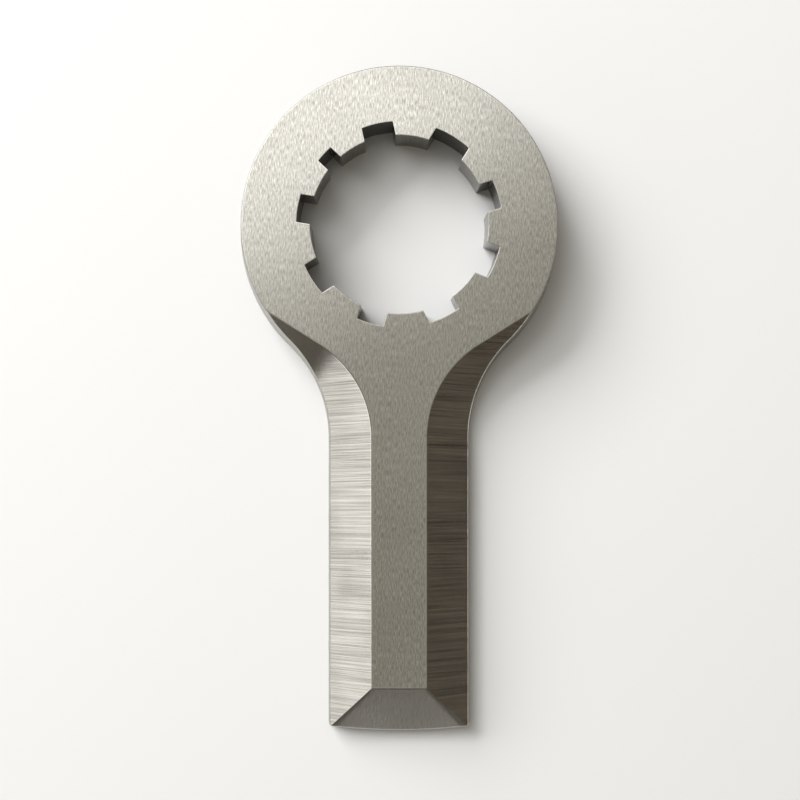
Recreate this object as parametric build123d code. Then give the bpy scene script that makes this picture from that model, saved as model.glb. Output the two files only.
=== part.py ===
from build123d import *

import os
from math import radians, sqrt, tan

os.makedirs("parts", exist_ok=True)

# A crusher blade in one piece of alloy steel: a round eye with a splined bore, a waist,
# and a straight shank whose two long edges and outer end are bevelled from the front.
# It lies on its flat back face. X runs across the shank, Y from the tip to the eye,
# Z up through the thickness, and the origin is the bore's centre on the back face.
# All sizes are millimetres and degrees.

# Blank: the outline is given on the back face, where it is widest
thickness = 36.0
wall_draft = 7.0  # the outer walls lean in towards the front face
eye_radius = 115.5
shank_width = 102.6
waist_radius = 92.5  # hollow between the eye and the shank
swing_radius = 362.5  # from the bore's centre to the tip, also the tip's own curve
tip_corner_radius = 2.0

# Splined bore: the grooves are parallel-sided and not evenly spaced
bore_radius = 62.5
groove_floor_radius = 72.0
# Each groove is its direction from the bore's centre and its width
grooves = (
    (17.3, 19.9),
    (58.3, 26.6),
    (102.5, 22.0),
    (136.8, 12.5),
    (170.8, 19.4),
    (212.4, 22.8),
    (253.5, 19.0),
    (296.2, 23.2),
    (338.2, 23.2),
)

# Bevels: what stays flat on the front face, and how steeply the rest falls away
band_width = 38.4
side_bevel_angle = 38.7
shoulder_angle = 32.0  # slope of the bevel's upper edge where it runs out on the eye
shoulder_drop = 107.0  # from the bore's centre to where that edge would meet the band
shoulder_radius = 77.0
ridge_distance = 325.0  # from the bore's centre to the foot of the band
tip_bevel_angle = 36.0

# The corners of the front and back faces, the bore's too, are broken by a chamfer
edge_break = 0.6

# A cutter reaches this far past the faces that it passes through
overrun = 5.0


def back_outline():
    """Eye, waist arcs, straight shank and an end curved about the bore's centre."""
    half_shank = shank_width / 2
    waist_x = half_shank + waist_radius
    waist_y = -sqrt((eye_radius + waist_radius) ** 2 - waist_x**2)
    touch = eye_radius / (eye_radius + waist_radius)
    eye_touch = (waist_x * touch, waist_y * touch)
    shank_touch = (half_shank, waist_y)
    tip_corner = (half_shank, -sqrt(swing_radius**2 - half_shank**2))

    def mirrored(point):
        return (-point[0], point[1])

    eye = ThreePointArc(eye_touch, (0, eye_radius), mirrored(eye_touch))
    tip = ThreePointArc(tip_corner, (0, -swing_radius), mirrored(tip_corner))
    sides = []
    for place in (lambda point: point, mirrored):
        bulge = (waist_x - waist_radius * 0.8, waist_y + waist_radius * 0.6)
        sides.append(ThreePointArc(place(eye_touch), place(bulge), place(shank_touch)))
        sides.append(Line(place(shank_touch), place(tip_corner)))
    face = make_face([eye, tip, *sides])
    return fillet(face.vertices().group_by(Axis.Y)[0], tip_corner_radius)


def blank():
    """The forged shape before grinding: the outline drawn up with its draft."""
    return extrude(back_outline(), amount=thickness, taper=wall_draft)


def bore():
    """Round bore with every groove opened out to the floor radius."""
    floor = Circle(groove_floor_radius)
    profile = Circle(bore_radius)
    for direction, width in grooves:
        reach = groove_floor_radius + overrun
        slot = Rectangle(reach, width, align=(Align.MIN, Align.CENTER))
        profile += floor & Rot(0, 0, direction) * slot
    return Pos(0, 0, -overrun) * extrude(profile, amount=thickness + 2 * overrun)


def side_bevel():
    """Wedge swept along the bevel's upper edge on the +X side of the shank."""
    fall = tan(radians(side_bevel_angle))
    start_x = eye_radius + overrun
    half_band = band_width / 2
    start = (start_x, -shoulder_drop + (start_x - half_band) * tan(radians(shoulder_angle)), thickness)
    corner = (half_band, -shoulder_drop, thickness)
    end = (half_band, -swing_radius - overrun, thickness)
    edge = FilletPolyline(start, corner, end, radius=shoulder_radius)
    reach = thickness / fall
    section = Plane(origin=end, x_dir=(1, 0, 0), z_dir=(0, -1, 0)) * Polygon(
        (0, 0), (reach, -reach * fall), (reach, overrun), (0, overrun), align=None
    )
    return sweep(section, path=edge)


def tip_bevel():
    """Wedge across the outer end, falling away from the foot of the band."""
    length = swing_radius + overrun - ridge_distance
    fall = length * tan(radians(tip_bevel_angle))
    section = Plane(origin=(0, -ridge_distance, thickness), x_dir=(0, -1, 0), z_dir=(-1, 0, 0)) * Polygon(
        (0, 0), (length, -fall), (length, overrun), (0, overrun), align=None
    )
    return extrude(section, amount=shank_width, both=True)


def plate():
    """Blank with its splined bore, every corner of both faces broken."""
    body = blank() - bore()
    front = body.faces().sort_by(Axis.Z)[-1]
    back = body.faces().sort_by(Axis.Z)[0]
    return chamfer(front.edges() + back.edges(), edge_break)


def ring_tooth_blade():
    """The finished blade as one solid."""
    right = side_bevel()
    return plate() - right - mirror(right, about=Plane.YZ) - tip_bevel()


export_step(ring_tooth_blade(), "parts/ring_tooth_blade.step")
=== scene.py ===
"""Looks of a ring tooth crusher blade: its steel skin, the pale floor, the light and the camera.

The blade is one piece of steel, so its skin is one closed surface. It is made of two grids: one
goes from the flat front over the bevels and the outer wall to the flat back, all round the
outline, and the other goes through the splined bore. Lengths are metres, angles are radians.
"""

from __future__ import annotations

import logging
import math
from collections.abc import Callable
from dataclasses import dataclass, field
from enum import IntEnum

import bmesh
import bpy
import numpy as np
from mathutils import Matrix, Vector

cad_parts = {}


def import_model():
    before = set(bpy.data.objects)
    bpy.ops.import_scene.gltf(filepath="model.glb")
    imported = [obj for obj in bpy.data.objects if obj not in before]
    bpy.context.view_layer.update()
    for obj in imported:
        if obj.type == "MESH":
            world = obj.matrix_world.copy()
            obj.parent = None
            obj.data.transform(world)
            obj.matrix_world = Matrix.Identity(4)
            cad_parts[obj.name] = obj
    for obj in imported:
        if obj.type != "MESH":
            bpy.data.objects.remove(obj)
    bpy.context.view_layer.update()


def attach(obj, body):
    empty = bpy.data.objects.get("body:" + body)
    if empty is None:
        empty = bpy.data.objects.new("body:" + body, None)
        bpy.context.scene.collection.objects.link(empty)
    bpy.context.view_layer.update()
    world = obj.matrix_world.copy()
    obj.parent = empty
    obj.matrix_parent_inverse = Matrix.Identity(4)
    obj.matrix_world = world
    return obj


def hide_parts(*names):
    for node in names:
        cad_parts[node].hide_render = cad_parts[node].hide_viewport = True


LOG = logging.getLogger("blade")
NODE = "ring_tooth_blade"
BODY = "root"

Colour = tuple[float, float, float]
Point = tuple[float, float]


class Zone(IntEnum):
    """The blade's surfaces, each with its own finish. The value is the material's place."""

    FRONT = 0
    RIGHT_BEVEL = 1
    LEFT_BEVEL = 2
    TIP_BEVEL = 3
    WALL = 4
    BACK = 5
    BORE = 6


class Coordinates(IntEnum):
    """What a finish measures its pattern on."""

    OBJECT = 0
    RUN = 1


@dataclass(frozen=True)
class Arc:
    """A stretch of circle. A hollow arc has the metal outside its circle."""

    centre: Point
    radius: float
    start: float
    turn: float
    hollow: bool = False

    @property
    def length(self) -> float:
        """Length along the arc."""
        return self.radius * abs(self.turn)

    def at(self, share: np.ndarray) -> tuple[np.ndarray, np.ndarray]:
        """Points and outward normals along the arc.

        A point is the centre plus the radius in the direction start + turn * share.

        Args:
            share: Places along the arc, from 0 to 1.

        Returns:
            Points and unit normals, each of shape (n, 2).
        """
        angle = self.start + self.turn * share
        ray = np.stack([np.cos(angle), np.sin(angle)], axis=-1)
        return np.asarray(self.centre) + self.radius * ray, -ray if self.hollow else ray


@dataclass(frozen=True)
class Run:
    """A straight stretch. The metal lies on the right of its direction of travel."""

    start: Point
    end: Point

    @property
    def length(self) -> float:
        """Length of the stretch."""
        return math.dist(self.start, self.end)

    def at(self, share: np.ndarray) -> tuple[np.ndarray, np.ndarray]:
        """Points and outward normals along the stretch.

        A point is the start plus the share of the way to the end, and the normal is the
        direction of travel turned left by a right angle.

        Args:
            share: Places along the stretch, from 0 to 1.

        Returns:
            Points and unit normals, each of shape (n, 2).
        """
        way = np.asarray(self.end) - np.asarray(self.start)
        normal = np.array([-way[1], way[0]]) / self.length
        return np.asarray(self.start) + share[:, None] * way, np.tile(normal, (len(share), 1))


@dataclass(frozen=True)
class Path:
    """Arcs and straight runs end to end.

    A place on it is a key: its whole part picks the piece and the rest is the share along it.
    Two paths with like pieces, such as an outline and its inset, match key by key.
    """

    pieces: tuple[Arc | Run, ...]

    @property
    def joints(self) -> np.ndarray:
        """Distances from the start to each joint, the start and the end included."""
        return np.concatenate([[0.0], np.cumsum([piece.length for piece in self.pieces])])

    def at(self, key: np.ndarray) -> tuple[np.ndarray, np.ndarray]:
        """Points and outward normals at keys.

        Args:
            key: Places on the path.

        Returns:
            Points and unit normals, each of shape (n, 2).
        """
        which = np.clip(key.astype(int), 0, len(self.pieces) - 1)
        points = np.zeros((len(key), 2))
        normals = np.zeros((len(key), 2))
        for index, piece in enumerate(self.pieces):
            here = which == index
            points[here], normals[here] = piece.at(key[here] - index)
        return points, normals


def narrow(low: np.ndarray, high: np.ndarray, test: Callable[[np.ndarray], np.ndarray]) -> np.ndarray:
    """Halves intervals until they close on the place where a test turns from true to false.

    Args:
        low: Values where the test is true.
        high: Values where the test is false.
        test: Function from values to an array of truth values.

    Returns:
        The values where the test turns.
    """
    for _ in range(44):
        middle = (low + high) / 2
        holds = test(middle)
        low = np.where(holds, middle, low)
        high = np.where(holds, high, middle)
    return (low + high) / 2


@dataclass(frozen=True)
class BladeShape:
    """Sizes of the blade, the outlines of its faces and the heights of its ground front."""

    thickness: float = 0.036
    wall_draft: float = math.radians(7.0)
    eye_radius: float = 0.1155
    shank_width: float = 0.1026
    waist_radius: float = 0.0925
    swing_radius: float = 0.3625
    tip_corner_radius: float = 0.002
    bore_radius: float = 0.0625
    groove_floor_radius: float = 0.072
    groove_degrees: tuple[float, ...] = (17.3, 58.3, 102.5, 136.8, 170.8, 212.4, 253.5, 296.2, 338.2)
    groove_widths: tuple[float, ...] = (
        0.0199, 0.0266, 0.0220, 0.0125, 0.0194, 0.0228, 0.0190, 0.0232, 0.0232)
    band_width: float = 0.0384
    side_bevel_angle: float = math.radians(38.7)
    shoulder_angle: float = math.radians(32.0)
    shoulder_drop: float = 0.107
    shoulder_radius: float = 0.077
    ridge_distance: float = 0.325
    tip_bevel_angle: float = math.radians(36.0)
    hip_blend: float = 0.0005

    @property
    def lean(self) -> float:
        """How far the outer wall moves inwards for each metre that it rises."""
        return math.tan(self.wall_draft)

    @property
    def shoulder_ray(self) -> float:
        """Direction square to the shoulder's line, from the hollow arc's centre to the line."""
        return math.pi / 2 + self.shoulder_angle

    @property
    def shoulder_centre(self) -> Point:
        """Centre of the hollow arc that rounds the corner of shoulder line and band edge."""
        setback = self.shoulder_radius / math.tan(self.shoulder_ray / 2)
        return self.band_width / 2 + self.shoulder_radius, -self.shoulder_drop - setback

    def apex_angle(self, inset: float = 0.0) -> float:
        """How far below +X the shoulder's line meets the eye's rim on the front face.

        The line passes the bore's centre at a known distance, and the rim is a circle, so the
        angle is the arc sine of that distance over the radius, less the line's own slope.

        Args:
            inset: How far both have moved into the front face.

        Returns:
            The angle.
        """
        foot = self.shoulder_drop + self.band_width / 2 * math.tan(self.shoulder_angle)
        near = foot * math.cos(self.shoulder_angle) - inset
        rim = self.eye_radius - self.thickness * self.lean - inset
        return math.asin(near / rim) - self.shoulder_angle

    def back_path(self, inset: float = 0.0) -> Path:
        """Right half of the back face's outline, from the eye's top to the middle of the tip.

        Args:
            inset: How far the outline has moved into the metal.

        Returns:
            Eye, waist, shank edge, corner and tip.
        """
        half = self.shank_width / 2
        waist_x = half + self.waist_radius
        waist_y = -math.sqrt((self.eye_radius + self.waist_radius) ** 2 - waist_x**2)
        waist_ray = math.atan2(-waist_y, -waist_x)
        corner_x = half - self.tip_corner_radius
        corner_y = -math.sqrt((self.swing_radius - self.tip_corner_radius) ** 2 - corner_x**2)
        corner_ray = math.atan2(corner_y, corner_x)
        return Path((
            Arc((0, 0), self.eye_radius - inset, math.pi / 2, waist_ray - 1.5 * math.pi),
            Arc((waist_x, waist_y), self.waist_radius + inset, waist_ray, math.pi - waist_ray, True),
            Run((half - inset, waist_y), (half - inset, corner_y)),
            Arc((corner_x, corner_y), self.tip_corner_radius - inset, 0, corner_ray),
            Arc((0, 0), self.swing_radius - inset, corner_ray, -math.pi / 2 - corner_ray),
        ))

    def front_path(self, inset: float = 0.0) -> Path:
        """Right half of the flat front face's outline, from the eye's top to the ridge's middle.

        Args:
            inset: How far the outline has moved into the face.

        Returns:
            Eye rim, shoulder line, hollow shoulder, band edge and ridge.
        """
        half = self.band_width / 2 - inset
        ridge = -self.ridge_distance + inset
        rim = self.eye_radius - self.thickness * self.lean - inset
        apex = self.apex_angle(inset)
        centre = self.shoulder_centre
        radius = self.shoulder_radius + inset
        leave = (centre[0] + radius * math.cos(self.shoulder_ray), centre[1] + radius * math.sin(self.shoulder_ray))
        return Path((
            Arc((0, 0), rim, math.pi / 2, -math.pi / 2 - apex),
            Run((rim * math.cos(apex), -rim * math.sin(apex)), leave),
            Arc(centre, radius, self.shoulder_ray, math.pi - self.shoulder_ray, True),
            Run((half, centre[1]), (half, ridge)),
            Run((half, ridge), (0, ridge)),
        ))

    def bore_path(self, inset: float = 0.0) -> Path:
        """The whole splined bore, anticlockwise from the first groove.

        Args:
            inset: How far the outline has moved into the metal.

        Returns:
            For each groove its first side, its floor, its second side and the tooth after it.
        """
        crest = self.bore_radius + inset
        floor = self.groove_floor_radius + inset
        rays = np.radians(self.groove_degrees)
        halves = np.asarray(self.groove_widths) / 2 + inset
        at_crest = np.arcsin(halves / crest)
        at_floor = np.arcsin(halves / floor)

        def place(radius: float, angle: float) -> Point:
            """Point at a radius and angle."""
            return radius * math.cos(angle), radius * math.sin(angle)

        pieces: list[Arc | Run] = []
        for index, ray in enumerate(rays):
            after = (index + 1) % len(rays)
            wide, slim = at_crest[index], at_floor[index]
            tooth_end = rays[after] + (2 * math.pi if after == 0 else 0) - at_crest[after]
            pieces.append(Run(place(crest, ray - wide), place(floor, ray - slim)))
            pieces.append(Arc((0, 0), floor, ray - slim, 2 * slim, True))
            pieces.append(Run(place(floor, ray + slim), place(crest, ray + wide)))
            pieces.append(Arc((0, 0), crest, ray + wide, tooth_end - ray - wide, True))
        return Path(tuple(pieces))

    def side_height(self, plan: np.ndarray) -> np.ndarray:
        """Height of the side bevel's surface.

        It starts on the front face at the bevel's upper edge and falls at side_bevel_angle
        with the distance from that edge, which is a line, a hollow arc and a second line.

        Args:
            plan: Points of shape (n, 2).

        Returns:
            Heights of shape (n,).
        """
        across = np.abs(plan[:, 0])
        offset = np.stack([across, plan[:, 1]], axis=-1) - np.asarray(self.shoulder_centre)
        square = np.array([math.cos(self.shoulder_ray), math.sin(self.shoulder_ray)])
        past_line = self.shoulder_radius - offset @ square
        past_arc = self.shoulder_radius - np.linalg.norm(offset, axis=1)
        past_band = across - self.band_width / 2
        on_line = np.arctan2(offset[:, 1], offset[:, 0]) < self.shoulder_ray
        past = np.where(offset[:, 1] < 0, past_band, np.where(on_line, past_line, past_arc))
        return self.thickness - math.tan(self.side_bevel_angle) * past

    def tip_height(self, plan: np.ndarray) -> np.ndarray:
        """Height of the tip bevel, which falls at tip_bevel_angle beyond the ridge."""
        return self.thickness - math.tan(self.tip_bevel_angle) * (-plan[:, 1] - self.ridge_distance)

    def front_height(self, plan: np.ndarray) -> np.ndarray:
        """Height of the ground front: the lowest of the flat and the two bevels.

        Where side and tip bevel meet, the hip is rounded: their minimum is lowered by a quarter
        of hip_blend times the square of how close they are, from 0 at hip_blend apart to 1.

        Args:
            plan: Points of shape (n, 2).

        Returns:
            Heights of shape (n,).
        """
        side, tip = self.side_height(plan), self.tip_height(plan)
        close = np.clip(1 - np.abs(side - tip) / self.hip_blend, 0, 1)
        bevels = np.minimum(side, tip) - close**2 * self.hip_blend / 4
        return np.minimum(bevels, self.thickness)

    def wall_top(self, foot: np.ndarray, normal: np.ndarray) -> np.ndarray:
        """Height at which the leaning outer wall meets the ground front.

        Args:
            foot: Points on the back face's outline, shape (n, 2).
            normal: Outward normals there.

        Returns:
            Heights of shape (n,).
        """
        def under(height: np.ndarray) -> np.ndarray:
            """Whether the wall at a height is still under the front."""
            return self.front_height(foot - normal * (height * self.lean)[:, None]) >= height

        return narrow(np.zeros(len(foot)), np.full(len(foot), self.thickness), under)

    def hip_distance(self) -> float:
        """Distance along the back outline to where both bevels meet the wall."""
        back = self.back_path()
        joints = back.joints

        def on_side(distance: np.ndarray) -> np.ndarray:
            """Whether the side bevel is the lower one at the wall's top."""
            foot, normal = back.at(np.interp(distance, joints, np.arange(len(joints))))
            rim = foot - normal * (self.wall_top(foot, normal) * self.lean)[:, None]
            return self.side_height(rim) < self.tip_height(rim)

        return float(narrow(joints[2:3], joints[-1:], on_side)[0])


def blend(start: np.ndarray, corner: np.ndarray, end: np.ndarray, share: float) -> np.ndarray:
    """Point of the parabola that leaves start towards a corner and reaches end from it.

    Args:
        start: First points, shape (n, 3).
        corner: Corners.
        end: Last points.
        share: Place on the parabola, from 0 to 1.

    Returns:
        Points of shape (n, 3).
    """
    return (1 - share) ** 2 * start + 2 * share * (1 - share) * corner + share**2 * end


def lift(plan: np.ndarray, height: np.ndarray | float) -> np.ndarray:
    """Points of a plan at a height."""
    return np.column_stack([plan, np.broadcast_to(height, len(plan))])


@dataclass
class Rows:
    """Loops of points gathered one after another into a grid."""

    points: list[np.ndarray] = field(default_factory=list)
    zones: list[Zone] = field(default_factory=list)
    wear: list[float] = field(default_factory=list)

    def add(self, loop: np.ndarray, zone: Zone, worn: float = 0.0) -> None:
        """Adds a loop, the zone of the strip after it, and how worn it is from 0 to 1."""
        self.points.append(loop)
        self.zones.append(zone)
        self.wear.append(worn)

    def round_edge(
        self, curve: Callable[[float], np.ndarray], before: Zone, after: Zone, worn: float
    ) -> None:
        """Adds the loops of a rounded edge.

        Args:
            curve: Function from a share between 0 and 1 to the loop there.
            before: Zone of the first half.
            after: Zone of the second half.
            worn: How bright the edge is rubbed, from 0 to 1.
        """
        steps = 4
        for step in range(steps + 1):
            self.add(curve(step / steps), before if 2 * step < steps else after, worn)

    @property
    def grid(self) -> np.ndarray:
        """All points, of shape (rows, columns, 3)."""
        return np.stack(self.points)

    def quads(self, first: int) -> np.ndarray:
        """Corner numbers of the quads between neighbouring rows and columns.

        Args:
            first: Number of the grid's first point.

        Returns:
            Numbers of shape (rows - 1, columns, 4), wound so that normals point outwards.
        """
        rows, columns = self.grid.shape[:2]
        index = first + np.arange(rows * columns).reshape(rows, columns)
        near, far = index[:-1], index[1:]
        return np.stack([near, np.roll(near, -1, axis=1), np.roll(far, -1, axis=1), far], axis=-1)

    def runs(self) -> np.ndarray:
        """Map of the quads in metres.

        The first number is the distance round the outline, measured on the middle row, and the
        second is the distance from the first row, measured down each column.

        Returns:
            Numbers of shape (rows - 1, columns, 4, 2).
        """
        grid = self.grid
        middle = grid[len(grid) // 2]
        around = np.cumsum(np.linalg.norm(np.roll(middle, -1, axis=0) - middle, axis=1))
        around = np.concatenate([[0.0], around])
        down = np.cumsum(np.linalg.norm(np.diff(grid, axis=0), axis=2), axis=0)
        down = np.concatenate([np.zeros((1, grid.shape[1])), down])
        left, right = (np.broadcast_to(part, down[:-1].shape) for part in (around[:-1], around[1:]))
        beside = np.roll(down, -1, axis=1)
        corners = ((left, down[:-1]), (right, beside[:-1]), (right, beside[1:]), (left, down[1:]))
        return np.stack([np.stack(corner, axis=-1) for corner in corners], axis=2)


@dataclass(frozen=True)
class BladeSkin:
    """Builds the blade's visible surface, with every edge rounded a little."""

    shape: BladeShape = field(default_factory=BladeShape)
    station_step: float = 0.0022
    edge_round: float = 0.0006
    bore_round: float = 0.0003
    back_round: float = 0.001
    edge_hold: float = 0.0006
    spline_round: float = 0.0003
    bevel_rows: int = 10
    wall_rows: int = 5
    corner_reach: float = 0.002
    upper_wear: float = 0.7
    lower_wear: float = 0.2

    def outline_stations(self) -> tuple[np.ndarray, np.ndarray]:
        """Matching keys on the front and back outlines, for the right half of the blade.

        Stretches are matched one by one, the eye with the eye, the side bevel with the edge
        below it and the tip with the tip, so that no line between them crosses an edge. The
        small corner of the back outline, which ends a little before the hip's foot, gets
        stations of its own.

        Returns:
            Keys on the front path and on the back path.
        """
        front, back = self.shape.front_path(), self.shape.back_path()
        near, far = front.joints, back.joints
        apex = (math.pi / 2 + self.shape.apex_angle()) * self.shape.eye_radius
        reach = self.corner_reach
        near_marks = [0, near[1], near[3], near[4] - reach, near[4] - reach / 3, near[4], near[5]]
        far_marks = [0, apex, far[2], far[3], far[4], self.shape.hip_distance(), far[5]]
        counts = np.ceil(np.diff(near) / self.station_step).astype(int)
        even = [index + np.arange(count) / count for index, count in enumerate(counts)]
        corner = np.interp(near[4] + np.linspace(-reach, 0, 13), near, np.arange(len(near)))
        key = np.unique(np.round(np.concatenate([*even, corner, [float(len(counts))]]), 6))
        distance = np.interp(np.interp(key, np.arange(len(near)), near), near_marks, far_marks)
        return key, np.interp(distance, far, np.arange(len(far)))

    def around(self, half: np.ndarray) -> np.ndarray:
        """Closes a right half with its mirror image, clockwise from the top."""
        mirrored = half[-2:0:-1] * np.array([-1, 1])
        return np.concatenate([half, mirrored])

    def outline_rows(self) -> Rows:
        """Grid from the flat front over the bevels and the outer wall to the flat back.

        On the eye's rim there is no bevel: its rows all lie in the middle of one rounded edge,
        and are merged later.

        Returns:
            The rows.
        """
        shape, thick = self.shape, self.shape.thickness
        front_key, back_key = self.outline_stations()

        def front(inset: float) -> np.ndarray:
            """Loop of the front outline, moved into the face."""
            return lift(self.around(shape.front_path(inset).at(front_key)[0]), thick)

        def back(inset: float) -> np.ndarray:
            """Loop of the back outline, moved into the face."""
            return lift(self.around(shape.back_path(inset).at(back_key)[0]), 0.0)

        edges = self.around(shape.front_path().at(front_key)[0])
        feet, normals = (self.around(part) for part in shape.back_path().at(back_key))
        top = shape.wall_top(feet, normals)
        rims = feet - normals * (top * shape.lean)[:, None]
        width = np.linalg.norm(rims - edges, axis=1)
        on_eye = (width < 1e-6)[:, None]
        edge_share = np.minimum(self.edge_round / np.maximum(width, 1e-9), 0.4)
        hold_share = np.minimum((self.edge_round + self.edge_hold) / np.maximum(width, 1e-9), 0.45)

        def wall(height: np.ndarray | float) -> np.ndarray:
            """Loop of the outer wall at a height."""
            height = np.broadcast_to(height, len(feet))
            return lift(feet - normals * (height * shape.lean)[:, None], height)

        def bevel(share: np.ndarray) -> np.ndarray:
            """Loop of the bevel at a share of the way from its upper edge to the rim."""
            plan = edges + (rims - edges) * share[:, None]
            return lift(plan, np.where(on_eye[:, 0], thick, shape.front_height(plan)))

        flat, corner = front(self.edge_round), front(0.0)
        low = np.maximum(top - self.edge_round, 0)
        rim_start, rim_end = bevel(1 - edge_share), wall(low)

        def upper(share: float) -> np.ndarray:
            """Rounded upper edge of the bevel, or first half of the eye's rounded rim."""
            rim = blend(flat, corner, rim_end, share / 2)
            return np.where(on_eye, rim, blend(flat, corner, bevel(edge_share), share))

        def lower(share: float) -> np.ndarray:
            """Rounded lower edge of the bevel, or second half of the eye's rounded rim."""
            rim = blend(flat, corner, rim_end, 0.5 + share / 2)
            return np.where(on_eye, rim, blend(rim_start, lift(rims, top), rim_end, share))

        rows = Rows()
        rows.add(front(self.edge_round + self.edge_hold), Zone.FRONT)
        rows.round_edge(upper, Zone.FRONT, Zone.RIGHT_BEVEL, self.upper_wear)
        for share in np.linspace(0, 1, self.bevel_rows):
            loop = bevel(hold_share + (1 - 2 * hold_share) * share)
            rows.add(np.where(on_eye, upper(1.0), loop), Zone.RIGHT_BEVEL)
        rows.round_edge(lower, Zone.RIGHT_BEVEL, Zone.WALL, self.lower_wear)
        foot = self.back_round + self.edge_hold
        for share in np.linspace(0, 1, self.wall_rows):
            rows.add(wall((low - self.edge_hold) * (1 - share) + foot * share), Zone.WALL)
        rows.round_edge(
            lambda share: blend(wall(self.back_round), back(0.0), back(self.back_round), share),
            Zone.WALL, Zone.BACK, self.lower_wear)
        rows.add(back(foot), Zone.BACK)
        return rows

    def bore_rows(self) -> Rows:
        """Grid from the flat front down the bore's wall to the flat back, anticlockwise.

        No station lies on a corner of a tooth or groove: the two beside it cut it off, which
        smooth shading turns into a rounded edge.

        Returns:
            The rows.
        """
        thick, cut, hold = self.shape.thickness, self.bore_round, self.edge_hold
        plain = self.shape.bore_path()
        keys = []
        for index, piece in enumerate(plain.pieces):
            ends = np.array([self.spline_round, self.spline_round + hold]) / piece.length
            count = math.ceil(piece.length / self.station_step)
            between = np.linspace(ends[1], 1 - ends[1], count + 1)
            keys.append(index + np.concatenate([ends[:1], between, 1 - ends[:1]]))
        key = np.concatenate(keys)

        def loop(inset: float, height: float) -> np.ndarray:
            """Loop of the bore moved into the metal, at a height."""
            return lift(self.shape.bore_path(inset).at(key)[0], height)

        rows = Rows()
        rows.add(loop(cut + hold, thick), Zone.FRONT)
        rows.round_edge(
            lambda share: blend(loop(cut, thick), loop(0, thick), loop(0, thick - cut), share),
            Zone.FRONT, Zone.BORE, self.upper_wear)
        for height in np.linspace(thick - cut - hold, cut + hold, self.wall_rows):
            rows.add(loop(0, height), Zone.BORE)
        rows.round_edge(
            lambda share: blend(loop(0, cut), loop(0, 0), loop(cut, 0), share),
            Zone.BORE, Zone.BACK, self.lower_wear)
        rows.add(loop(cut + hold, 0), Zone.BACK)
        return rows

    def outline_zones(self, rows: Rows) -> np.ndarray:
        """Zone of each quad of the outline's grid.

        Args:
            rows: The outline's rows.

        Returns:
            Zones of shape (rows - 1, columns).
        """
        key, _ = self.outline_stations()
        middle = (key[:-1] + key[1:]) / 2
        on_left = np.arange(2 * len(middle)) >= len(middle)
        middle = np.concatenate([middle, middle[::-1]])
        zones = np.repeat(np.array(rows.zones[:-1])[:, None], len(middle), axis=1)
        bevel = zones == Zone.RIGHT_BEVEL
        zones[bevel & on_left] = Zone.LEFT_BEVEL
        zones[bevel & (middle < 1)] = Zone.WALL
        zones[bevel & (middle > 4)] = Zone.TIP_BEVEL
        return zones

    def flats(self, outline: Rows, bore: Rows) -> list[list[int]]:
        """The flat front and back, each cut at the middle into a right and a left polygon.

        Args:
            outline: The outline's rows, whose points come first.
            bore: The bore's rows, whose points follow.

        Returns:
            Point numbers of the four polygons, the two of the front first.
        """
        (rows, columns), (depth, count) = outline.grid.shape[:2], bore.grid.shape[:2]
        foot = columns // 2
        angle = np.arctan2(bore.grid[0, :, 1], bore.grid[0, :, 0])
        top = int(np.argmin(np.abs(angle - math.pi / 2)))
        bottom = int(np.argmin(np.abs(angle + math.pi / 2)))
        down = [(top + step) % count for step in range((bottom - top) % count + 1)]
        up = [(bottom + step) % count for step in range((top - bottom) % count + 1)]
        right, left = list(range(foot + 1)), [*range(foot, columns), 0]
        polygons = []
        for row, ring, front in ((0, 0, True), (rows - 1, depth - 1, False)):
            first = rows * columns + ring * count
            for outer, inner in ((right, up), (left, down)):
                loop = [row * columns + number for number in outer] + [first + number for number in inner]
                polygons.append(loop[::-1] if front else loop)
        return polygons

    def build(self) -> bpy.types.Object:
        """Makes the mesh.

        Returns:
            The blade's object, with a material number on each face, the edge wear on each point
            and the map in metres named run.
        """
        outline, bore = self.outline_rows(), self.bore_rows()
        points = np.concatenate([outline.grid.reshape(-1, 3), bore.grid.reshape(-1, 3)])
        quads = [outline.quads(0).reshape(-1, 4), bore.quads(outline.grid.size // 3).reshape(-1, 4)]
        flats = self.flats(outline, bore)
        faces = [*np.concatenate(quads).tolist(), *flats]
        bore_zones = np.repeat(np.array(bore.zones[:-1])[:, None], bore.grid.shape[1], axis=1)
        zones = np.concatenate([
            self.outline_zones(outline).ravel(), bore_zones.ravel(), [Zone.FRONT] * 2, [Zone.BACK] * 2])
        wear = np.concatenate([
            np.repeat(rows.wear, rows.grid.shape[1]) for rows in (outline, bore)])
        runs = np.concatenate([
            outline.runs().reshape(-1, 2), bore.runs().reshape(-1, 2),
            *(points[polygon][:, :2] for polygon in flats)])

        mesh = bpy.data.meshes.new("blade_skin")
        mesh.from_pydata(points.tolist(), [], faces)
        mesh.polygons.foreach_set("material_index", zones.astype(np.int32))
        mesh.attributes.new("edge_wear", "FLOAT", "POINT").data.foreach_set("value", wear.astype(np.float32))
        mesh.uv_layers.new(name="run").data.foreach_set("uv", runs.ravel().astype(np.float32))
        self.merge(mesh)
        mesh.shade_smooth()
        return bpy.data.objects.new("blade_skin", mesh)

    def merge(self, mesh: bpy.types.Mesh) -> None:
        """Merges the rows that meet on the eye's rim and drops the faces that they leave."""
        work = bmesh.new()
        work.from_mesh(mesh)
        bmesh.ops.remove_doubles(work, verts=work.verts, dist=1e-6)
        bmesh.ops.dissolve_degenerate(work, edges=work.edges, dist=1e-7)
        open_edges = sum(not edge.is_manifold for edge in work.edges)
        LOG.info("skin: %d points, %d faces, %d open edges", len(work.verts), len(work.faces), open_edges)
        work.to_mesh(mesh)
        work.free()
        mesh.update()


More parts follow.
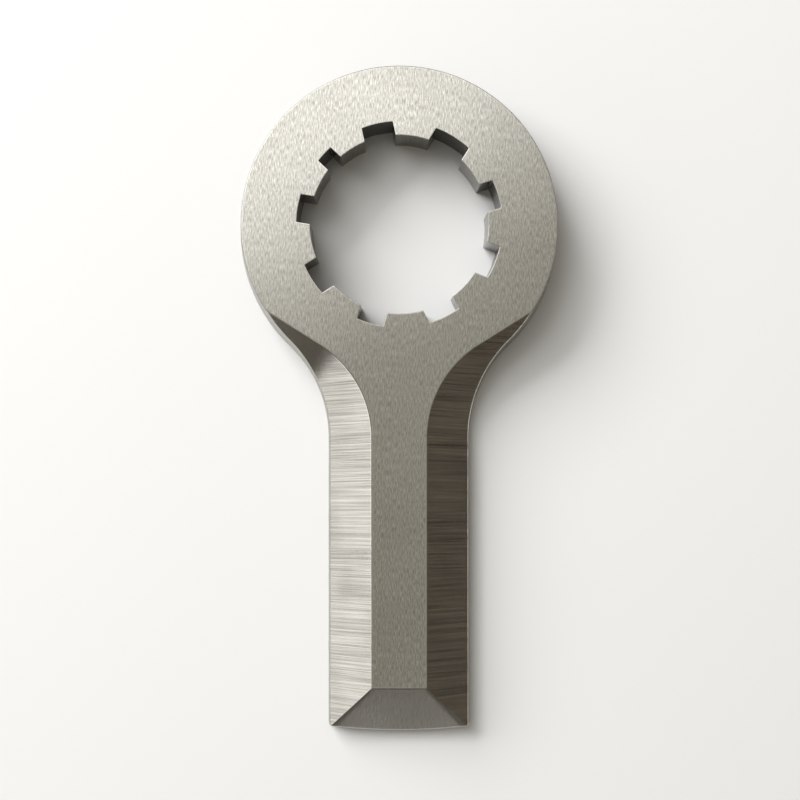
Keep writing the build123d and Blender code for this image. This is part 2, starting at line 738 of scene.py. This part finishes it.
class Wiring:
    """Short calls that add and join the nodes of one tree."""

    def __init__(self, tree: bpy.types.NodeTree) -> None:
        """Takes the tree that nodes are added to."""
        self.tree = tree

    def node(self, kind: str, inputs: dict[str | int, object] | None = None, **settings: object) -> bpy.types.Node:
        """Adds a node.

        Args:
            kind: Blender's name of the node type.
            inputs: Values or sockets for its inputs, by name or number.
            settings: The node's own settings.

        Returns:
            The node.
        """
        made = self.tree.nodes.new(kind)
        for name, value in settings.items():
            setattr(made, name, value)
        for name, value in (inputs or {}).items():
            if isinstance(value, bpy.types.NodeSocket):
                self.tree.links.new(value, made.inputs[name])
            else:
                made.inputs[name].default_value = value
        return made

    def math(self, operation: str, *values: object, clamp: bool = False) -> bpy.types.NodeSocket:
        """Result of a math node on one to three values."""
        return self.node("ShaderNodeMath", dict(enumerate(values)), operation=operation, use_clamp=clamp).outputs[0]

    def noise(self, vector: object, scale: object, detail: float = 2.0) -> bpy.types.NodeSocket:
        """Noise between 0 and 1 at a scale."""
        inputs = {"Vector": vector, "Scale": scale, "Detail": detail}
        return self.node("ShaderNodeTexNoise", inputs).outputs["Fac"]

    def ramp(self, value: object, low: float, high: float, to_low: object, to_high: object) -> bpy.types.NodeSocket:
        """Value carried evenly from one range to another and held at its ends."""
        inputs = {"Value": value, "From Min": low, "From Max": high, "To Min": to_low, "To Max": to_high}
        return self.node("ShaderNodeMapRange", inputs).outputs[0]

    def mix(self, factor: object, start: object, end: object) -> bpy.types.NodeSocket:
        """Colour between two colours."""
        ends = [(*part, 1.0) if isinstance(part, tuple) else part for part in (start, end)]
        return self.node("ShaderNodeMix", {0: factor, 6: ends[0], 7: ends[1]}, data_type="RGBA").outputs[2]


def group(name: str, inputs: dict[str, tuple[str, object]], output: str) -> tuple[Wiring, dict, object]:
    """Starts a node group that puts out one value.

    Args:
        name: The group's name.
        inputs: Kind and default of each input, by name.
        output: Name of its output.

    Returns:
        The group's wiring, its inputs' sockets by name and its output's socket.
    """
    tree = bpy.data.node_groups.new(name, "ShaderNodeTree")
    for label, (kind, default) in inputs.items():
        socket = tree.interface.new_socket(label, in_out="INPUT", socket_type=kind)
        if default is not None:
            socket.default_value = default
    tree.interface.new_socket(output, in_out="OUTPUT", socket_type="NodeSocketFloat")
    entry = tree.nodes.new("NodeGroupInput")
    leave = tree.nodes.new("NodeGroupOutput")
    return Wiring(tree), {label: entry.outputs[label] for label in inputs}, leave.inputs[output]


class Effects:
    """Node groups that several finishes share, each built once."""

    def __init__(self) -> None:
        """Builds every group."""
        self.lines = self.ground_lines()
        self.tone = self.slow_tone()
        self.pits = self.pitting()
        self.edge = self.polished_edge()
        self.painted_shade = self.painted_groove_shade()

    def ground_lines(self) -> bpy.types.NodeTree:
        """Lines left by a grinding belt: noise drawn out along X.

        Two noises of one length and of widths in the ratio 1 to 2.7 are mixed, so that fine
        lines lie in bundles.

        Returns:
            The group, with Length and Width in metres, Slant, the way that a line moves along
            -Y for each metre that it rises, and Bundling, the share of the wider noise.
        """
        wiring, given, out = group("ground_lines", {
            "Vector": ("NodeSocketVector", None),
            "Length": ("NodeSocketFloat", 0.01),
            "Width": ("NodeSocketFloat", 0.001),
            "Slant": ("NodeSocketFloat", 0.0),
            "Bundling": ("NodeSocketFloat", 0.4),
            "Seed": ("NodeSocketFloat", 0.0),
        }, "Lines")
        parts = wiring.node("ShaderNodeSeparateXYZ", {0: given["Vector"]}).outputs
        along = wiring.math("DIVIDE", parts["X"], given["Length"])
        slanted = wiring.math("MULTIPLY_ADD", parts["Z"], given["Slant"], parts["Y"])
        across = wiring.math("DIVIDE", slanted, given["Width"])
        fine = wiring.node("ShaderNodeCombineXYZ", {"X": along, "Y": across, "Z": given["Seed"]}).outputs[0]
        wide = wiring.math("DIVIDE", across, 2.7)
        bundle = wiring.node("ShaderNodeCombineXYZ", {"X": along, "Y": wide, "Z": given["Seed"]}).outputs[0]
        noises = {0: given["Bundling"], 2: wiring.noise(fine, 1.0, 2.0), 3: wiring.noise(bundle, 1.0, 1.0)}
        both = wiring.node("ShaderNodeMix", noises).outputs[0]
        wiring.tree.links.new(wiring.ramp(both, 0.25, 0.75, 0.0, 1.0), out)
        return wiring.tree

    def painted_groove_shade(self) -> bpy.types.NodeTree:
        """Painted shade in the spline grooves, darker with the distance from the bore's axis.

        Returns:
            The group, with the radii in metres at which the painted shade starts and is full.
        """
        wiring, given, out = group("painted_groove_shade", {
            "Vector": ("NodeSocketVector", None),
            "Clean": ("NodeSocketFloat", 0.06),
            "Dirty": ("NodeSocketFloat", 0.07),
        }, "PaintedShade")
        flat = wiring.node("ShaderNodeVectorMath", {0: given["Vector"], 1: (1.0, 1.0, 0.0)}, operation="MULTIPLY")
        radius = wiring.node("ShaderNodeVectorMath", {0: flat.outputs[0]}, operation="LENGTH").outputs["Value"]
        patchy = wiring.ramp(wiring.noise(given["Vector"], 160.0, 2.0), 0.3, 0.7, 0.6, 1.0)
        shade_mask = wiring.ramp(radius, given["Clean"], given["Dirty"], 0.0, 1.0)
        wiring.tree.links.new(wiring.math("MULTIPLY", shade_mask, patchy), out)
        return wiring.tree

    def slow_tone(self) -> bpy.types.NodeTree:
        """Slow drift of tone over the steel: noise a few centimetres across.

        Returns:
            The group, with Size in metres.
        """
        wiring, given, out = group("slow_tone", {
            "Vector": ("NodeSocketVector", None),
            "Size": ("NodeSocketFloat", 0.05),
        }, "Tone")
        scale = wiring.math("DIVIDE", 1.0, given["Size"])
        cloud = wiring.noise(given["Vector"], scale, 2.0)
        wiring.tree.links.new(wiring.ramp(cloud, 0.3, 0.7, 0.0, 1.0), out)
        return wiring.tree

    def pitting(self) -> bpy.types.NodeTree:
        """Small dark pits: the middles of a Voronoi pattern's cells, in a few patches.

        Returns:
            The group, with Spacing in metres and Patches from 0, none, to 1, everywhere.
        """
        wiring, given, out = group("pitting", {
            "Vector": ("NodeSocketVector", None),
            "Spacing": ("NodeSocketFloat", 0.003),
            "Patches": ("NodeSocketFloat", 0.3),
        }, "Pits")
        scale = wiring.math("DIVIDE", 1.0, given["Spacing"])
        cells = wiring.node("ShaderNodeTexVoronoi", {"Vector": given["Vector"], "Scale": scale})
        dots = wiring.ramp(cells.outputs["Distance"], 0.08, 0.22, 1.0, 0.0)
        cloud = wiring.noise(given["Vector"], wiring.math("DIVIDE", scale, 9.0), 1.0)
        limit = wiring.math("SUBTRACT", 1.0, given["Patches"])
        patch = wiring.ramp(wiring.math("SUBTRACT", cloud, limit), 0.0, 0.06, 0.0, 1.0)
        wiring.tree.links.new(wiring.math("MULTIPLY", dots, patch), out)
        return wiring.tree

    def polished_edge(self) -> bpy.types.NodeTree:
        """Edges rubbed bright, here more and there less.

        Returns:
            The group, with Wear from 0 on the faces to 1 on an edge.
        """
        wiring, given, out = group("polished_edge", {
            "Vector": ("NodeSocketVector", None),
            "Wear": ("NodeSocketFloat", 0.0),
        }, "Mask")
        broken = wiring.ramp(wiring.noise(given["Vector"], 90.0, 3.0), 0.35, 0.6, 0.45, 1.0)
        wiring.tree.links.new(wiring.math("MULTIPLY", given["Wear"], broken), out)
        return wiring.tree


@dataclass(frozen=True)
class Steel:
    """A ground steel finish.

    Lines are given by the direction that they run in, their length and their width. A contrast
    is how much of the way from dark to light a pattern goes.
    """

    name: str
    dark: Colour
    light: Colour
    lines_turn: float
    line_length: float
    line_width: float
    line_contrast: float
    line_depth: float
    roughness: float
    roughness_spread: float
    tone_size: float = 0.05
    tone_contrast: float = 0.35
    grit_size: float = 0.0007
    grit_contrast: float = 0.25
    pit_spacing: float = 0.003
    pit_patches: float = 0.0
    edge_colour: Colour = (0.78, 0.77, 0.74)
    edge_gloss: float = 0.1
    line_slant: float = 0.0
    line_bundling: float = 0.4
    # Painted shade in the bore's grooves: its amount, its colour and the radii where it starts and is full.
    painted_shade: float = 0.0
    painted_shade_colour: Colour = (0.02, 0.018, 0.014)
    painted_shade_from: float = 0.063
    painted_shade_to: float = 0.067
    seed: float = 0.0
    coordinates: Coordinates = Coordinates.OBJECT

    def material(self, effects: Effects) -> bpy.types.Material:
        """Builds the material.

        Args:
            effects: The shared node groups.

        Returns:
            The material.
        """
        made = bpy.data.materials.new(self.name)
        made.use_nodes = True
        made.node_tree.nodes.clear()
        wiring = Wiring(made.node_tree)
        where = wiring.node("ShaderNodeTexCoord").outputs["Object"]
        flat = where
        if self.coordinates is Coordinates.RUN:
            flat = wiring.node("ShaderNodeUVMap", uv_map="run").outputs[0]
        turned = wiring.node(
            "ShaderNodeMapping", {"Vector": flat, "Rotation": (0.0, 0.0, -self.lines_turn)}).outputs[0]

        def effect(tree: bpy.types.NodeTree, **inputs: object) -> bpy.types.NodeSocket:
            """Places a shared group and gives its output."""
            return wiring.node("ShaderNodeGroup", inputs, node_tree=tree).outputs[0]

        lines = effect(
            effects.lines, Vector=turned, Length=self.line_length, Width=self.line_width,
            Slant=self.line_slant, Bundling=self.line_bundling, Seed=self.seed)
        tone = effect(effects.tone, Vector=where, Size=self.tone_size)
        pits = effect(effects.pits, Vector=where, Spacing=self.pit_spacing, Patches=self.pit_patches)
        wear = wiring.node("ShaderNodeAttribute", attribute_name="edge_wear").outputs["Fac"]
        edge = effect(effects.edge, Vector=where, Wear=wear)
        grit = wiring.noise(where, 1 / self.grit_size, 1.0)

        shade = wiring.math("MULTIPLY_ADD", wiring.math("SUBTRACT", lines, 0.5), self.line_contrast, 0.5)
        shade = wiring.math("MULTIPLY_ADD", wiring.math("SUBTRACT", tone, 0.5), self.tone_contrast, shade)
        shade = wiring.math("MULTIPLY_ADD", wiring.math("SUBTRACT", grit, 0.5), self.grit_contrast, shade)
        shade = wiring.math("SUBTRACT", shade, pits, clamp=True)
        colour = wiring.mix(edge, wiring.mix(shade, self.dark, self.light), self.edge_colour)
        # Painted shade: the grooves darken towards their floors, standing in for the shadow in them.
        if self.painted_shade:
            shade_mask = effect(effects.painted_shade, Vector=where, Clean=self.painted_shade_from, Dirty=self.painted_shade_to)
            colour = wiring.mix(wiring.math("MULTIPLY", shade_mask, self.painted_shade), colour, self.painted_shade_colour)

        rough = wiring.math("MULTIPLY_ADD", wiring.math("SUBTRACT", 0.5, shade), self.roughness_spread, self.roughness)
        rough = wiring.math("MULTIPLY_ADD", edge, -self.edge_gloss, rough)
        height = wiring.math("MULTIPLY_ADD", grit, 0.3, wiring.math("SUBTRACT", lines, pits))
        bump = wiring.node("ShaderNodeBump", {"Height": height, "Strength": 1.0, "Distance": self.line_depth})
        shader = wiring.node("ShaderNodeBsdfPrincipled", {
            "Base Color": colour, "Metallic": 1.0, "Roughness": rough, "Normal": bump.outputs[0]})
        wiring.node("ShaderNodeOutputMaterial", {"Surface": shader.outputs[0]})
        return made


@dataclass(frozen=True)
class BladeFinishes:
    """The finish of each of the blade's surfaces."""

    front: Steel = Steel(
        "front_ground_lengthwise", (0.39, 0.376, 0.345), (0.78, 0.767, 0.722), math.radians(87), 0.004,
        0.0005, 1.5, 0.000006, 0.24, 0.05, tone_contrast=0.12, grit_contrast=0.3, line_bundling=0.25)
    left_bevel: Steel = Steel(
        "left_bevel_ground_across", (0.36, 0.342, 0.305), (0.72, 0.70, 0.65), 0.0, 0.06,
        0.00055, 1.4, 0.00001, 0.22, 0.08, pit_patches=0.36, line_slant=-0.1, line_bundling=0.3, seed=3.0)
    right_bevel: Steel = Steel(
        "right_bevel_ground_across", (0.24, 0.22, 0.19), (0.94, 0.92, 0.85), 0.0, 0.07,
        0.0007, 1.7, 0.00002, 0.20, 0.10, line_slant=-0.1, line_bundling=0.35, seed=5.0)
    tip_bevel: Steel = Steel(
        "tip_ground_steep", (0.42, 0.41, 0.375), (0.64, 0.63, 0.59), math.radians(80), 0.007,
        0.0006, 1.3, 0.000008, 0.30, 0.06, line_bundling=0.2, seed=7.0)
    wall: Steel = Steel(
        "wall_machined", (0.30, 0.285, 0.25), (0.42, 0.40, 0.36), math.radians(90), 0.02,
        0.0006, 0.9, 0.00002, 0.34, 0.10, seed=11.0, coordinates=Coordinates.RUN)
    back: Steel = Steel(
        "back_ground_lengthwise", (0.40, 0.382, 0.345), (0.68, 0.665, 0.62), math.radians(88), 0.009,
        0.0008, 1.2, 0.000012, 0.30, 0.10, seed=17.0)
    # The bore's steel colours are set darker than those of the faces, partly as painted shade in the hollow.
    bore: Steel = Steel(
        "bore_broached_shaded", (0.15, 0.142, 0.124), (0.28, 0.268, 0.237), math.radians(90), 0.03,
        0.0007, 0.9, 0.00002, 0.24, 0.08, painted_shade=0.9, seed=23.0, coordinates=Coordinates.RUN)

    def materials(self, effects: Effects) -> list[bpy.types.Material]:
        """Builds the materials in the order of the zones.

        Args:
            effects: The shared node groups.

        Returns:
            One material for each zone.
        """
        finishes = {
            Zone.FRONT: self.front,
            Zone.LEFT_BEVEL: self.left_bevel,
            Zone.RIGHT_BEVEL: self.right_bevel,
            Zone.TIP_BEVEL: self.tip_bevel,
            Zone.WALL: self.wall,
            Zone.BACK: self.back,
            Zone.BORE: self.bore,
        }
        return [finishes[zone].material(effects) for zone in Zone]


@dataclass(frozen=True)
class Blade:
    """The blade: its skin and the finishes on it."""

    skin: BladeSkin = field(default_factory=BladeSkin)
    finishes: BladeFinishes = field(default_factory=BladeFinishes)

    def build(self, effects: Effects) -> bpy.types.Object:
        """Makes the blade and puts it in the frame.

        Args:
            effects: The shared node groups.

        Returns:
            The blade's object.
        """
        piece = self.skin.build()
        bpy.context.scene.collection.objects.link(piece)
        for material in self.finishes.materials(effects):
            piece.data.materials.append(material)
        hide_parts(NODE)
        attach(piece, BODY)
        return piece


@dataclass(frozen=True)
class Panel:
    """A soft light panel that faces the middle of the blade."""

    name: str
    azimuth: float
    elevation: float
    distance: float
    width: float
    height: float
    brightness: float
    in_reflections: bool = True

    def build(self, target: Vector) -> bpy.types.Object:
        """Makes the lamp.

        Args:
            target: The point that it faces.

        Returns:
            The lamp's object.
        """
        lamp = bpy.data.lights.new(self.name, "AREA")
        lamp.shape = "RECTANGLE"
        lamp.size, lamp.size_y = self.width, self.height
        lamp.energy = 4 * self.brightness * self.width * self.height
        made = bpy.data.objects.new(self.name, lamp)
        made.visible_glossy = self.in_reflections
        azimuth, elevation = math.radians(self.azimuth), math.radians(self.elevation)
        ray = Vector((
            math.cos(elevation) * math.cos(azimuth), math.cos(elevation) * math.sin(azimuth),
            math.sin(elevation)))
        made.location = target + ray * self.distance
        made.rotation_euler = ray.to_track_quat("Z", "Y").to_euler()
        bpy.context.scene.collection.objects.link(made)
        return made


@dataclass(frozen=True)
class Studio:
    """Pale floor, soft light and a camera that looks straight down."""

    floor_size: float = 6.0
    floor_colour: Colour = (0.875, 0.878, 0.878)
    room_walls: Colour = (0.07, 0.056, 0.041)
    room_ceiling: Colour = (0.352, 0.338, 0.292)
    target: tuple[float, float, float] = (0.0, -0.1, 0.0)
    panels: tuple[Panel, ...] = (
        Panel("key_panel", 138, 28, 5.0, 4.0, 2.3, 1.1),
        Panel("key_floor_panel", 138, 28, 5.1, 4.1, 2.35, 7.2, False),
        Panel("high_panel", 130, 51, 5.0, 3.0, 2.5, 1.1),
        Panel("high_floor_panel", 130, 51, 5.1, 3.1, 2.55, 1.7, False),
        Panel("top_panel", 116, 72.0, 5.0, 3.0, 1.5, 1.05),
        Panel("left_panel", 194, 14, 3.0, 3.4, 0.9, 1.0),
    )
    camera_place: tuple[float, float, float] = (-0.00791, -0.11949, 0.878)
    lens: float = 54.13
    shift: Point = (0.015, -0.00625)

    def build(self) -> None:
        """Makes the floor, the world, the lamps and the camera."""
        self.build_floor()
        self.build_world()
        for panel in self.panels:
            panel.build(Vector(self.target))
            LOG.info("lamp: %s", panel.name)
        self.build_camera()

    def build_floor(self) -> None:
        """Makes the floor on which the blade lies."""
        half = self.floor_size / 2
        corners = [(-half, -half, 0), (half, -half, 0), (half, half, 0), (-half, half, 0)]
        mesh = bpy.data.meshes.new("floor")
        mesh.from_pydata(corners, [], [(0, 1, 2, 3)])
        floor = bpy.data.objects.new("floor", mesh)
        bpy.context.scene.collection.objects.link(floor)
        material = bpy.data.materials.new("pale_floor")
        material.use_nodes = True
        shader = material.node_tree.nodes["Principled BSDF"]
        shader.inputs["Base Color"].default_value = (*self.floor_colour, 1.0)
        shader.inputs["Roughness"].default_value = 0.9
        shader.inputs["Specular IOR Level"].default_value = 0.2
        mesh.materials.append(material)
        LOG.info("floor: %.1f m square", self.floor_size)

    def build_world(self) -> None:
        """Makes the dim light of the room, from its dark walls up to its paler ceiling."""
        world = bpy.data.worlds.new("studio")
        bpy.context.scene.world = world
        world.use_nodes = True
        world.node_tree.nodes.clear()
        wiring = Wiring(world.node_tree)
        direction = wiring.node("ShaderNodeTexCoord").outputs["Generated"]
        rise = wiring.node("ShaderNodeSeparateXYZ", {0: direction}).outputs["Z"]
        light = wiring.mix(wiring.math("MULTIPLY", rise, rise), self.room_walls, self.room_ceiling)
        background = wiring.node("ShaderNodeBackground", {"Color": light})
        wiring.node("ShaderNodeOutputWorld", {"Surface": background.outputs[0]})

    def build_camera(self) -> None:
        """Makes the camera above the blade and sets the view."""
        lens = bpy.data.cameras.new("camera")
        lens.sensor_width = 36.0
        lens.lens = self.lens
        lens.shift_x, lens.shift_y = self.shift
        camera = bpy.data.objects.new("camera", lens)
        camera.location = self.camera_place
        bpy.context.scene.collection.objects.link(camera)
        bpy.context.scene.camera = camera
        bpy.context.scene.view_settings.view_transform = "Standard"


def main() -> None:
    """Builds the blade and the studio round it."""
    logging.basicConfig(level=logging.INFO, format="%(name)s: %(message)s")
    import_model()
    effects = Effects()
    piece = Blade().build(effects)
    LOG.info("blade: %d faces, %d finishes", len(piece.data.polygons), len(piece.data.materials))
    Studio().build()
    bpy.context.view_layer.update()


if __name__ == "__main__":
    main()
